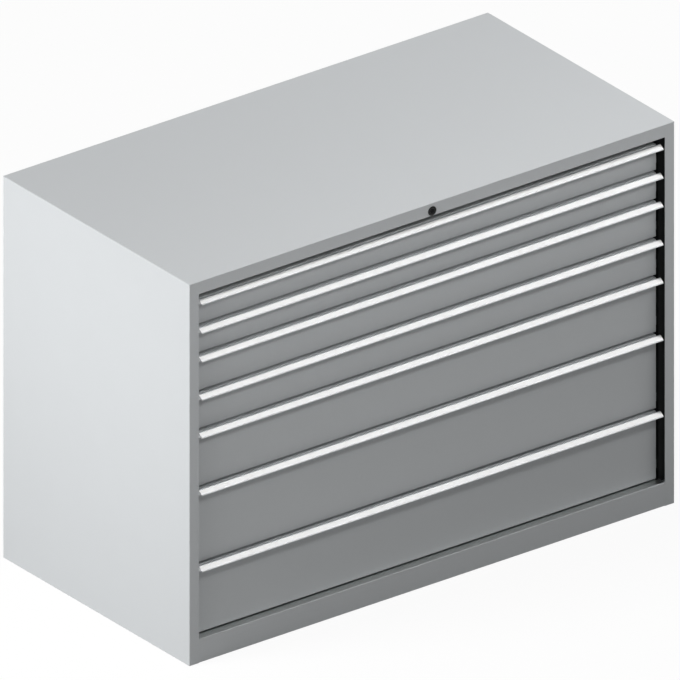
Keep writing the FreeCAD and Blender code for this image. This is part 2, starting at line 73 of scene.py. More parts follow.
MM = 0.001
SIDES = ("left", "right")
# vertices nearer than this are one
JOINED = 0.01 * MM
# faces that turn by less than this are one flat face
FLAT = math.radians(1)
# edges that turn by more than this are hard edges
HARD = math.radians(30)
# the same for a roller, whose eased shoulder turns in steps
ROLLER_HARD = math.radians(40)
# an edge runs along an axis if its direction has more than this of it
PARALLEL = 0.9
# a sheet's cut side is narrower than this, and its faces are wider
CUT_SIDE = 2.6 * MM
# a carriage's bars are longer than this, and its rollers are shorter
SHORTEST_BAR = 100 * MM
DRAWERS = sorted(int(body.split("_")[1]) for body in frame["bodies"] if body.startswith("drawer_"))


def linear(code):
    """Linear colour of an sRGB hex code."""
    parts = [int(code[at:at + 2], 16) / 255 for at in (0, 2, 4)]
    return tuple(part / 12.92 if part <= 0.04045 else ((part + 0.055) / 1.055) ** 2.4 for part in parts)


def colour(name, description, code):
    """A finish's colour, for the sidebar."""
    return FloatVectorProperty(
        name=name, description=description, subtype="COLOR", size=3, min=0, max=1, default=linear(code))


def size(name, description, millimetres):
    """A length in metres, for the sidebar."""
    return FloatProperty(
        name=name, description=description, unit="LENGTH", min=0, precision=5, default=millimetres * MM)


class CabinetFinishes(bpy.types.PropertyGroup):
    paint: colour("Powder coat", "Housing, drawer fronts and trays", "CACDCF")
    # near-black primer: partly the uprights' own primer, partly painted shade for the dark gaps beside the drawers
    primer: colour("Primer", "Slotted uprights inside the housing", "101112")
    zinc: colour("Zinc plate", "Rails, runners, carriages and the lock's rod and bar", "B9BCBB")
    aluminium: colour("Anodised aluminium", "Handle extrusions", "BCBEC0")
    card: colour("Label card", "Strips under the handles' clear covers", "FCFCFB")
    cap: colour("Lock cap", "Moulded collar of the lock", "0A0A0B")
    plug: colour("Lock plug", "Blackened plug that takes the key", "1C1C1D")
    floor: colour("Floor", "Studio floor", "F4F4F3")


class CabinetSizes(bpy.types.PropertyGroup):
    fold: size("Fold radius", "Outside radius where the housing's sheet is folded", 2.2)
    front_fold: size("Front's fold", "Outside radius where a drawer front is folded", 1.5)
    top_fold: size("Top's fold", "Outside radius of the top panel's tight fold, about the sheet's gauge", 1.1)
    upright_fold: size("Upright's fold", "Outside radius where a slotted upright is folded", 1.5)
    channel_fold: size("Channel's fold", "Outside radius of the rails' and runners' folds", 1.2)
    cut: size("Cut edge", "Rounding that deburring leaves along a cut sheet's edges", 0.25)
    extrusion: size("Extrusion edge", "Corner radius of the aluminium section", 0.45)
    label_edge: size("Label edge", "Rounding of the clear cover over a label", 0.1)
    cap_edge: size("Lock cap's edge", "Corner radius of the lock's moulded collar", 0.5)
    plug_edge: size("Lock plug's edge", "Rounding of the turned plug and its key slot", 0.2)
    bar_edge: size("Lock bars' edge", "Rounding of the lock's crank, rod and bar", 0.3)
    tray_gauge: size("Tray gauge", "Thickness of the trays' sheet", 1)
    divider_pitch: size("Divider pitch", "Spacing of the slots for dividers in the tray walls", 17)
    divider_slot: size("Divider slot", "Width of each slot in the tray walls", 2.6)
    divider_margin: size("Divider margin", "Height of the plain band between the slots and the hem", 6)
    hem: size("Hem", "Height of the tray wall's folded top edge", 7)
    weld_pitch: size("Weld pitch", "Spacing of the spot welds on the back panel", 80)
    weld_radius: size("Weld radius", "Radius of a spot weld's mark", 3)
    weld_height: size("Weld height", "Height of a spot weld's mark", 0.25)
    flange_gauge: size("Flange gauge", "Thickness of the plinth's upper flange", 1.5)
    bar_end: size("Bar's end", "Corner radius of a carriage bar's ends", 5)
    axle_radius: size("Axle head", "Radius of a roller axle's riveted head", 3.2)
    axle_height: size("Axle head's height", "Height of a roller axle's riveted head", 1.2)


class CabinetStage(bpy.types.PropertyGroup):
    azimuth: FloatProperty(
        name="Azimuth", description="Camera's turn round the cabinet", subtype="ANGLE", default=math.radians(-37.21))
    elevation: FloatProperty(
        name="Elevation", description="Camera's height over the horizon", subtype="ANGLE",
        default=math.radians(26.35))
    width: FloatProperty(
        name="View width", description="Width that the camera sees", unit="LENGTH", default=1.598)
    sky: FloatProperty(name="Sky", description="Even light from all round", min=0, default=0.15)
    key: FloatProperty(name="Key", description="Soft light from high on the left", min=0, default=1.93)
    left: FloatProperty(
        name="Left box", description="Soft box beside the cabinet's left side", unit="POWER", min=0, default=20.8)
    front: FloatProperty(
        name="Front box", description="Soft box over the drawers' fronts", unit="POWER", min=0, default=4.1)
    right: FloatProperty(
        name="Right box", description="Soft box that fills from the right", unit="POWER", min=0, default=4.8)
    overhead: FloatProperty(
        name="Overhead box", description="Soft box that the labels' clear covers mirror", unit="POWER", min=0,
        default=28.8)


def feed(tree, node, inputs):
    """Give a node its inputs. Each is a constant, or the socket that it is linked from."""
    for key, value in inputs.items():
        if isinstance(value, bpy.types.NodeSocket):
            tree.links.new(value, node.inputs[key])
        else:
            node.inputs[key].default_value = value


def add(tree, kind, inputs=None, **settings):
    """Add a node with its settings and inputs."""
    node = tree.nodes.new(kind)
    for name, value in settings.items():
        setattr(node, name, value)
    feed(tree, node, inputs or {})
    return node


def maths(tree, operation, *terms):
    """The result of a calculation on constants and sockets."""
    return add(tree, "ShaderNodeMath", dict(enumerate(terms)), operation=operation).outputs["Value"]


def surface(name):
    """An empty material's tree, with the place on the piece and its surface node."""
    made = bpy.data.materials.new(name)
    made.use_nodes = True
    tree = made.node_tree
    tree.nodes.clear()
    place = add(tree, "ShaderNodeTexCoord").outputs["Object"]
    body = add(tree, "ShaderNodeBsdfPrincipled")
    add(tree, "ShaderNodeOutputMaterial", {"Surface": body.outputs["BSDF"]})
    return made, tree, place, body


def tinted(colour_value, share):
    """A colour made lighter or darker by a share."""
    return (*[min(1.0, part * share) for part in colour_value], 1.0)


def stretched(tree, place, scale):
    """The place with its axes scaled, so that a pattern runs along the ones scaled down."""
    return add(tree, "ShaderNodeMapping", {"Vector": place, "Scale": scale}).outputs["Vector"]


def noise(tree, place, millimetres, detail=2.0):
    """A pattern whose patches are about so many millimetres across."""
    return add(tree, "ShaderNodeTexNoise", {
        "Vector": place, "Scale": 1 / (millimetres * MM), "Detail": detail}).outputs["Fac"]


def toned(tree, pattern, colour_value, low, high):
    """A colour that drifts with a pattern between two shares of itself."""
    return add(tree, "ShaderNodeMix", {
        0: pattern, 6: tinted(colour_value, low), 7: tinted(colour_value, high)}, data_type="RGBA").outputs[2]


def ranged(tree, pattern, low, high, given=(0, 1)):
    """A pattern brought from the given range between two values."""
    return add(tree, "ShaderNodeMapRange", {
        "Value": pattern, "From Min": given[0], "From Max": given[1], "To Min": low, "To Max": high,
    }).outputs["Result"]


def bumped(tree, pattern, strength, millimetres):
    """The surface's direction where a pattern stands up by so many millimetres."""
    return add(tree, "ShaderNodeBump", {
        "Height": pattern, "Strength": strength, "Distance": millimetres * MM}).outputs["Normal"]


def powder_coated_steel(paint):
    """Polyester powder, sprayed on and baked: an even satin film with a faint orange peel."""
    made, tree, place, body = surface("powder_coated_steel")
    # the baked film drifts by a percent over a hand's breadth
    drift = noise(tree, place, 90, detail=3.0)
    # orange peel is 1.5 mm across on the real film, and is drawn 4 mm across to show
    peel = noise(tree, place, 4, detail=1.0)
    feed(tree, body, {
        "Base Color": toned(tree, drift, paint, 0.985, 1.015),
        "Roughness": ranged(tree, drift, 0.42, 0.5, given=(0.3, 0.7)),
        "Normal": bumped(tree, peel, 0.12, 0.15),
        "IOR": 1.5,
    })
    return made


def primer_and_gap_shade(primer):
    """Black dip primer, made near-black so that it also paints the shade seen through the gaps beside the drawers:
    thin, matt and a little uneven where it drained.
    """
    made, tree, place, body = surface("dipped_black_primer")
    runs = noise(tree, stretched(tree, place, (1, 1, 0.15)), 14, detail=4.0)
    feed(tree, body, {
        "Base Color": toned(tree, runs, primer, 0.8, 1.25),
        "Roughness": ranged(tree, runs, 0.5, 0.7),
        "IOR": 1.5,
    })
    return made


def bright_zinc(zinc):
    """Electroplated zinc: bright, faintly blotched by the bath, with the rolling marks of the strip along it."""
    made, tree, place, body = surface("bright_zinc_plate")
    blotch = noise(tree, place, 18, detail=4.0)
    rolled = noise(tree, stretched(tree, place, (1, 0.02, 1)), 1.2)
    feed(tree, body, {
        "Base Color": toned(tree, blotch, zinc, 0.86, 1.1),
        "Roughness": ranged(tree, rolled, 0.26, 0.44),
        "Normal": bumped(tree, rolled, 0.15, 0.05),
        "Metallic": 1.0,
    })
    return made


def anodised_aluminium(aluminium):
    """Extruded section, etched and clear anodised: silky, with the die's faint lines along its length."""
    made, tree, place, body = surface("anodised_aluminium")
    # die lines are a few hundredths wide, and are drawn 1 mm apart to show
    lines = noise(tree, stretched(tree, place, (0.01, 1, 1)), 1)
    feed(tree, body, {
        "Base Color": toned(tree, lines, aluminium, 0.96, 1.03),
        "Roughness": ranged(tree, lines, 0.24, 0.36),
        "Normal": bumped(tree, lines, 0.1, 0.04),
        "Metallic": 1.0,
    })
    return made


def covered_card(card):
    """White card behind a clear PVC strip: matt paper under a glossy, slightly wavy skin."""
    made, tree, place, body = surface("card_under_clear_strip")
    fibre = noise(tree, place, 1.5, detail=3.0)
    wave = noise(tree, stretched(tree, place, (0.2, 1, 1)), 12)
    feed(tree, body, {
        "Base Color": toned(tree, fibre, card, 0.98, 1.02),
        "Roughness": 0.6,
        "Coat Weight": 1.0,
        "Coat Roughness": 0.06,
        "Coat IOR": 1.54,
        "Coat Normal": bumped(tree, wave, 0.2, 0.1),
    })
    return made


def moulded_cap(cap):
    """Injection-moulded black ABS with a fine spark-eroded grain."""
    made, tree, place, body = surface("moulded_black_abs")
    # the grain is 0.1 mm on the real cap, and is drawn 0.6 mm across to show
    grain = noise(tree, place, 0.6)
    feed(tree, body, {
        "Base Color": toned(tree, grain, cap, 0.85, 1.15),
        "Roughness": ranged(tree, grain, 0.42, 0.56),
        "Normal": bumped(tree, grain, 0.3, 0.05),
        "IOR": 1.53,
        # the grain scatters most of the gloss away
        "Specular IOR Level": 0.2,
    })
    return made


def plated_plug(plug):
    """Black nickel over brass, turned and then rubbed by the key: dark, with a patchy stain."""
    made, tree, place, body = surface("black_nickel_on_brass")
    stain = noise(tree, place, 3, detail=3.0)
    feed(tree, body, {
        "Base Color": toned(tree, stain, plug, 0.75, 1.15),
        "Roughness": ranged(tree, stain, 0.22, 0.4),
        "Metallic": 1.0,
    })
    return made


FINISHES = {
    "light_grey_paint": (powder_coated_steel, "paint"),
    "dark_primer": (primer_and_gap_shade, "primer"),
    "zinc_plate": (bright_zinc, "zinc"),
    "handle_aluminium": (anodised_aluminium, "aluminium"),
    "label_white": (covered_card, "card"),
    "black_cap": (moulded_cap, "cap"),
    "lock_plug": (plated_plug, "plug"),
}
made_finishes = {}


def finish_of(slot):
    """The material of one of the record's slots, made once."""
    if slot not in made_finishes:
        make, name = FINISHES[slot]
        made_finishes[slot] = make(getattr(bpy.context.scene.cabinet_finishes, name))
    return made_finishes[slot]


def body_of(node):
    """The CAD body that a node belongs to."""
    return frame["nodes"][node]["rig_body"]


def keep(name, mesh, body, slot, nodes=()):
    """Make a mesh a piece of the cabinet: it rides on its body, has its finish and stands for its CAD nodes."""
    piece = bpy.data.objects.new(name, mesh)
    bpy.context.scene.collection.objects.link(piece)
    mesh.materials.clear()
    mesh.materials.append(finish_of(slot))
    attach(piece, body)
    if nodes:
        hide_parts(*nodes)
    return piece


def width_of(face):
    """Rough width of a long face, also where it is bent like a channel's end."""
    return 2 * face.calc_area() / sum(edge.calc_length() for edge in face.edges)


def merged(node):
    """The node's own shape, with its loose triangles joined into flat faces."""
    work = bmesh.new()
    work.from_mesh(frame["nodes"][node].data)
    bmesh.ops.remove_doubles(work, verts=work.verts, dist=JOINED)
    bmesh.ops.dissolve_limit(work, angle_limit=FLAT, verts=work.verts, edges=work.edges)
    return work


def to_mesh(work, name):
    """Turn worked geometry into a smooth mesh whose hard edges stay hard."""
    mesh = bpy.data.meshes.new(name)
    work.to_mesh(mesh)
    work.free()
    mesh.shade_smooth()
    mesh.set_sharp_from_angle(angle=HARD)
    return mesh


def round_edges(piece, radius, segments=3):
    """Round the edges that carry a weight, up to the radius."""
    bevel = piece.modifiers.new("rounding", "BEVEL")
    bevel.limit_method = "WEIGHT"
    bevel.width = radius
    bevel.segments = segments
    bevel.harden_normals = True
    bevel.use_clamp_overlap = True


def weigh_edges(work, fold, cut, sheet):
    """Give folded edges their full radius and cut edges a small one. Faces narrower than sheet are cut sides."""
    weight = work.edges.layers.float.get("bevel_weight_edge") or work.edges.layers.float.new("bevel_weight_edge")
    for edge in work.edges:
        if len(edge.link_faces) == 2 and edge.calc_face_angle_signed() > HARD:
            folded = all(width_of(face) > sheet for face in edge.link_faces)
            edge[weight] = 1.0 if folded else cut / fold


def folded_piece(node, slot, fold, sheet=CUT_SIDE):
    """A sheet-metal node with rounded folds and deburred edges."""
    work = merged(node)
    weigh_edges(work, fold, bpy.context.scene.cabinet_sizes.cut, sheet)
    piece = keep(f"{node}_finished", to_mesh(work, node), body_of(node), slot, [node])
    round_edges(piece, fold)


def solid_piece(node, slot, radius, segments=2):
    """A machined, moulded or extruded node whose sharp edges are all eased alike."""
    work = merged(node)
    weight = work.edges.layers.float.new("bevel_weight_edge")
    for edge in work.edges:
        if len(edge.link_faces) == 2 and abs(edge.calc_face_angle_signed()) > HARD:
            edge[weight] = 1.0
    piece = keep(f"{node}_finished", to_mesh(work, node), body_of(node), slot, [node])
    round_edges(piece, radius, segments)


def empty_tree(name, sockets):
    """A geometry tree, and the sockets that give its named inputs."""
    tree = bpy.data.node_groups.new(name, "GeometryNodeTree")
    tree.interface.new_socket("Geometry", in_out="INPUT", socket_type="NodeSocketGeometry")
    for socket, kind in sockets:
        tree.interface.new_socket(socket, in_out="INPUT", socket_type=kind)
    tree.interface.new_socket("Geometry", in_out="OUTPUT", socket_type="NodeSocketGeometry")
    return tree, add(tree, "NodeGroupInput").outputs


def close_tree(tree, geometry, material):
    """End a tree with real geometry and its material."""
    real = add(tree, "GeometryNodeRealizeInstances", {"Geometry": geometry})
    finished = add(tree, "GeometryNodeSetMaterial", {
        "Geometry": real.outputs["Geometry"], "Material": material})
    add(tree, "NodeGroupOutput", {"Geometry": finished.outputs["Geometry"]})


def grown(tree, start, values):
    """Plain mesh that a geometry tree makes from a start mesh."""
    carrier = bpy.data.objects.new(tree.name, start)
    bpy.context.scene.collection.objects.link(carrier)
    modifier = carrier.modifiers.new("grow", "NODES")
    modifier.node_group = tree
    for item in tree.interface.items_tree:
        if item.item_type == "SOCKET" and item.in_out == "INPUT" and item.name in values:
            modifier[item.identifier] = values[item.name]
    bpy.context.view_layer.update()
    graph = bpy.context.evaluated_depsgraph_get()
    mesh = bpy.data.meshes.new_from_object(carrier.evaluated_get(graph), depsgraph=graph)
    carrier.modifiers.remove(modifier)
    bpy.data.objects.remove(carrier)
    return mesh


def points_mesh(name, places):
    """A mesh of loose points."""
    mesh = bpy.data.meshes.new(name)
    mesh.from_pydata([tuple(place) for place in places], [], [])
    return mesh


def slotted_wall_tree():
    """Tray wall: one pitch of sheet with a slot in its middle, repeated along the wall and given its gauge."""
    tree, given = empty_tree("slotted_wall", [
        ("Count", "NodeSocketInt"), ("Pitch", "NodeSocketFloat"), ("Height", "NodeSocketFloat"),
        ("Slot", "NodeSocketFloat"), ("Low", "NodeSocketFloat"), ("High", "NodeSocketFloat"),
        ("Gauge", "NodeSocketFloat"), ("Material", "NodeSocketMaterial")])
    # nine cells whose inner lines lie at 0.5 and outer ones at 1.5; the middle one is the slot
    grid = add(tree, "GeometryNodeMeshGrid", {"Size X": 3.0, "Size Y": 3.0, "Vertices X": 4, "Vertices Y": 4})
    middle = add(tree, "FunctionNodeCompare", {
        2: add(tree, "GeometryNodeInputIndex").outputs["Index"], 3: 4}, data_type="INT", operation="EQUAL")
    holed = add(tree, "GeometryNodeDeleteGeometry", {
        "Geometry": grid.outputs["Mesh"], "Selection": middle.outputs["Result"]}, domain="FACE")
    spot = add(tree, "ShaderNodeSeparateXYZ", {"Vector": add(tree, "GeometryNodeInputPosition").outputs[0]})
    across, up = spot.outputs["X"], spot.outputs["Y"]
    outer = maths(tree, "GREATER_THAN", maths(tree, "ABSOLUTE", across), 1.0)
    reach = add(tree, "ShaderNodeMix", {0: outer, 2: given["Slot"], 3: given["Pitch"]}).outputs[0]
    new_x = maths(tree, "MULTIPLY", maths(tree, "SIGN", across), maths(tree, "MULTIPLY", reach, 0.5))
    ends = maths(tree, "GREATER_THAN", maths(tree, "ABSOLUTE", up), 1.0)
    upper = add(tree, "ShaderNodeMix", {0: ends, 2: given["High"], 3: given["Height"]}).outputs[0]
    lower = add(tree, "ShaderNodeMix", {0: ends, 2: given["Low"], 3: 0.0}).outputs[0]
    above = maths(tree, "GREATER_THAN", up, 0.0)
    new_z = add(tree, "ShaderNodeMix", {0: above, 2: lower, 3: upper}).outputs[0]
    shaped = add(tree, "GeometryNodeSetPosition", {
        "Geometry": holed.outputs["Geometry"],
        "Position": add(tree, "ShaderNodeCombineXYZ", {"X": new_x, "Z": new_z}).outputs["Vector"]})
    step = add(tree, "ShaderNodeCombineXYZ", {"X": given["Pitch"]}).outputs["Vector"]
    first = add(tree, "ShaderNodeCombineXYZ", {"X": maths(tree, "MULTIPLY", given["Pitch"], 0.5)}).outputs["Vector"]
    line = add(tree, "GeometryNodeMeshLine", {
        "Count": given["Count"], "Start Location": first, "Offset": step})
    row = add(tree, "GeometryNodeInstanceOnPoints", {
        "Points": line.outputs["Mesh"], "Instance": shaped.outputs["Geometry"]})
    joined = add(tree, "GeometryNodeMergeByDistance", {
        "Geometry": add(tree, "GeometryNodeRealizeInstances", {
            "Geometry": row.outputs["Instances"]}).outputs["Geometry"],
        "Distance": JOINED})
    raised = add(tree, "GeometryNodeExtrudeMesh", {
        "Mesh": joined.outputs["Geometry"], "Offset Scale": given["Gauge"], "Individual": False})
    turned = add(tree, "GeometryNodeFlipFaces", {"Mesh": joined.outputs["Geometry"]})
    both = add(tree, "GeometryNodeJoinGeometry")
    tree.links.new(raised.outputs["Mesh"], both.inputs["Geometry"])
    tree.links.new(turned.outputs["Mesh"], both.inputs["Geometry"])
    closed = add(tree, "GeometryNodeMergeByDistance", {
        "Geometry": both.outputs["Geometry"], "Distance": JOINED})
    close_tree(tree, closed.outputs["Geometry"], given["Material"])
    return tree


def roller_tree():
    """Rollers on their axles: a ring with rounded shoulders, a hub and a riveted head, at each point."""
    tree, given = empty_tree("rollers", [
        ("Radius", "NodeSocketFloat"), ("Width", "NodeSocketFloat"), ("Head", "NodeSocketFloat"),
        ("Material", "NodeSocketMaterial")])
    rim, shoulder = 2.6 * MM, 0.8 * MM

    def share(length, part):
        return maths(tree, "MULTIPLY", length, part)

    ring_radius = maths(tree, "SUBTRACT", given["Radius"], rim / 2)
    ring = add(tree, "GeometryNodeCurvePrimitiveCircle", {
        "Resolution": 36, "Radius": ring_radius}, mode="RADIUS")
    section = add(tree, "GeometryNodeCurvePrimitiveQuadrilateral", {"Width": rim, "Height": given["Width"]})
    eased = add(tree, "GeometryNodeFilletCurve", {
        "Curve": section.outputs["Curve"], "Radius": shoulder, "Count": 2}, mode="POLY")
    tyre = add(tree, "GeometryNodeCurveToMesh", {
        "Curve": ring.outputs["Curve"], "Profile Curve": eased.outputs["Curve"]})
    # the hub is sunk below the tyre, and the axle stands out of it
    hub = add(tree, "GeometryNodeMeshCylinder", {
        "Vertices": 24, "Radius": ring_radius, "Depth": share(given["Width"], 0.8)})
    axle = add(tree, "GeometryNodeMeshCylinder", {
        "Vertices": 20, "Radius": share(given["Head"], 0.6), "Depth": share(given["Width"], 0.96)})
    all_parts = add(tree, "GeometryNodeJoinGeometry")
    for part in (tyre, hub, axle):
        tree.links.new(part.outputs["Mesh"], all_parts.inputs["Geometry"])
    # the parts are turned about Z, and the rollers turn about X
    lying = add(tree, "GeometryNodeTransform", {
        "Geometry": all_parts.outputs["Geometry"], "Rotation": (0, math.pi / 2, 0)})
    placed = add(tree, "GeometryNodeInstanceOnPoints", {
        "Points": given["Geometry"], "Instance": lying.outputs["Geometry"]})
    close_tree(tree, placed.outputs["Instances"], given["Material"])
    return tree


def button_tree():
    """Low round buttons, such as rivet heads and weld marks, at each point. Turn tilts them from facing up."""
    tree, given = empty_tree("buttons", [
        ("Radius", "NodeSocketFloat"), ("Height", "NodeSocketFloat"), ("Turn", "NodeSocketVector"),
        ("Material", "NodeSocketMaterial")])
    ball = add(tree, "GeometryNodeMeshUVSphere", {"Segments": 20, "Rings": 8, "Radius": 1.0})
    flat = add(tree, "ShaderNodeCombineXYZ", {"X": given["Radius"], "Y": given["Radius"], "Z": given["Height"]})
    low = add(tree, "GeometryNodeTransform", {
        "Geometry": ball.outputs["Mesh"], "Scale": flat.outputs["Vector"]})
    placed = add(tree, "GeometryNodeInstanceOnPoints", {
        "Points": given["Geometry"], "Instance": low.outputs["Geometry"], "Rotation": given["Turn"]})
    close_tree(tree, placed.outputs["Instances"], given["Material"])
    return tree


made_trees = {}


def tree_of(make):
    """A geometry tree, built once."""
    if make not in made_trees:
        made_trees[make] = make()
    return made_trees[make]


def solid_parts(node):
    """Lowest and highest corner of each separate solid in a CAD node."""
    work = merged(node)
    left = set(work.verts)
    parts = []
    while left:
        # walk along the edges from any vertex until the whole solid is found
        found, waiting = set(), [left.pop()]
        while waiting:
            vertex = waiting.pop()
            found.add(vertex)
            for edge in vertex.link_edges:
                other = edge.other_vert(vertex)
                if other in left:
                    left.discard(other)
                    waiting.append(other)
        corners = [vertex.co for vertex in found]
        parts.append((Vector([min(c[i] for c in corners) for i in range(3)]),
                      Vector([max(c[i] for c in corners) for i in range(3)])))
    work.free()
    # the search starts anywhere, and the sorting makes its order the same in every run
    return sorted(parts, key=lambda box: tuple(box[0]))


class DressHousing(bpy.types.Operator):
    """Finish the painted housing and mark the spot welds on its back"""

    bl_idname = "cabinet.dress_housing"
    bl_label = "Housing"

    def execute(self, context):
        sizes = context.scene.cabinet_sizes
        for node in ("left_side_panel", "right_side_panel", "back_panel", "floor_panel",
                     "front_plinth", "top_front_rail"):
            folded_piece(node, "light_grey_paint", sizes.fold)
        # a zinc strip over the sill paints the shade of the recess under the lowest drawer
        self.sill_shade_flange(sizes)
        # with no cut sides, every edge of the top has the tight fold's radius
        folded_piece("top_panel", "light_grey_paint", sizes.top_fold, sheet=0)
        self.weld_marks(sizes)
        return {"FINISHED"}

    def weld_marks(self, sizes):
        """A row of spot welds down each side of the back."""
        low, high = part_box("back_panel")
        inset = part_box("left_side_panel")[1].x - low.x + sizes.weld_radius * 2
        count = int((high.z - low.z) / sizes.weld_pitch)
        gap = (high.z - low.z) / count
        places = [Vector((x, high.y, low.z + gap * (step + 0.5)))
                  for x in (low.x + inset, high.x - inset) for step in range(count)]
        mesh = grown(tree_of(button_tree), points_mesh("weld_places", places), {
            "Radius": sizes.weld_radius, "Height": sizes.weld_height, "Turn": (math.pi / 2, 0, 0),
            "Material": finish_of("light_grey_paint")})
        mesh.shade_smooth()
        keep("back_weld_marks", mesh, body_of("back_panel"), "light_grey_paint")

    def sill_shade_flange(self, sizes):
        """The plinth's upper flange as bare zinc-coated sheet behind the face's fold, laid over the painted flange
        as painted shade: its metal mirrors the dark drawer front, so the sill shows as the shadowed recess under the
        lowest drawer.
        """
        low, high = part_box("front_plinth")
        gauge = sizes.flange_gauge
        # a hair over the painted flange, which it hides, with its edges barely eased
        over, eased = 0.1 * MM, 0.05 * MM
        work = bmesh.new()
        start = Vector((low.x + gauge, low.y + sizes.fold, high.z - gauge))
        end = Vector((high.x - gauge, high.y, high.z + over))
        bmesh.ops.create_cube(work, matrix=Matrix.Translation((start + end) / 2) @ Matrix.Diagonal(
            (*(end - start), 1)))
        piece = keep("front_plinth_flange", to_mesh(work, "front_plinth_flange"), body_of("front_plinth"),
                     "zinc_plate", ["front_plinth"])
        piece.modifiers.new("rounding", "BEVEL").width = eased


class DressFrame(bpy.types.Operator):
    """Finish the slotted uprights and the fixed rails inside the housing"""

    bl_idname = "cabinet.dress_frame"
    bl_label = "Uprights and rails"

    def execute(self, context):
        sizes = context.scene.cabinet_sizes
        for end in ("front", "rear"):
            for side in SIDES:
                # the uprights' near-black primer also paints the shade seen through the gaps beside the drawers
                folded_piece(f"{end}_{side}_upright", "dark_primer", sizes.upright_fold)
        for side in SIDES:
            folded_piece(f"cabinet_rails_{side}", "zinc_plate", sizes.channel_fold)
        return {"FINISHED"}


class DressLock(bpy.types.Operator):
    """Finish the lock, its rod and the locking bar"""

    bl_idname = "cabinet.dress_lock"
    bl_label = "Lock"

    def execute(self, context):
        sizes = context.scene.cabinet_sizes
        solid_piece("lock_housing", "black_cap", sizes.cap_edge, 3)
        solid_piece("lock_cylinder", "lock_plug", sizes.plug_edge)
        for node in ("lock_cam", "lock_rod", "locking_bar"):
            solid_piece(node, "zinc_plate", sizes.bar_edge)
        return {"FINISHED"}


class DressDrawers(bpy.types.Operator):
    """Finish the drawer fronts, and build the trays with their slotted walls"""

    bl_idname = "cabinet.dress_drawers"
    bl_label = "Fronts and trays"

    def execute(self, context):
        sizes = context.scene.cabinet_sizes
        for drawer in DRAWERS:
            folded_piece(f"drawer_{drawer}_front", "light_grey_paint", sizes.front_fold)
            self.tray(sizes, f"drawer_{drawer}_tray")
        return {"FINISHED"}

    def tray(self, sizes, node):
        """A floor, four slotted walls and the hems along their tops."""
        low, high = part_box(node)
        gauge = sizes.tray_gauge
        height = high.z - low.z
        # the plain band under the slots, and the most that a low tray's hem takes
        band = height * 0.12
        hem = min(sizes.hem, band)
        # sheet folded flat on itself, with a little air in the fold
        hem_depth = 2.2 * gauge
        work = bmesh.new()
        lengths = (high.x - low.x, high.y - low.y)
        turns = ((0, low.x, low.y), (90, high.x, low.y), (180, high.x, high.y), (270, low.x, high.y))
        for place, (turn, x, y) in enumerate(turns):
            length = lengths[place % 2]
            count = int(length / sizes.divider_pitch)
            wall = grown(tree_of(slotted_wall_tree), points_mesh("wall", []), {
                "Count": count, "Pitch": length / count, "Height": height, "Slot": sizes.divider_slot,
                "Low": band, "High": height - hem - sizes.divider_margin, "Gauge": gauge,
                "Material": finish_of("light_grey_paint")})
            put = Matrix.Translation((x, y, low.z)) @ Matrix.Rotation(math.radians(turn), 4, "Z")
            before = set(work.verts)
            work.from_mesh(wall)
            fresh = [vertex for vertex in work.verts if vertex not in before]
            # the wall's outer face lies on the tray's outline
            depth = [vertex.co.y for vertex in fresh]
            inward = Matrix.Translation((0, -min(depth), 0))
            bmesh.ops.transform(work, matrix=put @ inward, verts=fresh)
            self.strip(work, put, (gauge, gauge, height - hem), (length - gauge, hem_depth, height))
        self.strip(work, Matrix.Identity(4), (low.x + gauge, low.y + gauge, low.z),
                   (high.x - gauge, high.y - gauge, low.z + gauge))
        keep(f"{node}_finished", to_mesh(work, node), body_of(node), "light_grey_paint", [node])

    def strip(self, work, put, low, high):
        """A plain strip of sheet between two corners."""
        middle = [(a + b) / 2 for a, b in zip(low, high)]
        span = [b - a for a, b in zip(low, high)]
        bmesh.ops.create_cube(work, matrix=put @ Matrix.Translation(middle) @ Matrix.Diagonal((*span, 1)))


class DressHandles(bpy.types.Operator):
    """Finish the handle extrusions and the label strips in them"""

    bl_idname = "cabinet.dress_handles"
    bl_label = "Handles and labels"

    def execute(self, context):
        sizes = context.scene.cabinet_sizes
        for drawer in DRAWERS:
            solid_piece(f"drawer_{drawer}_handle", "handle_aluminium", sizes.extrusion)
            solid_piece(f"drawer_{drawer}_label", "label_white", sizes.label_edge, 1)
        return {"FINISHED"}


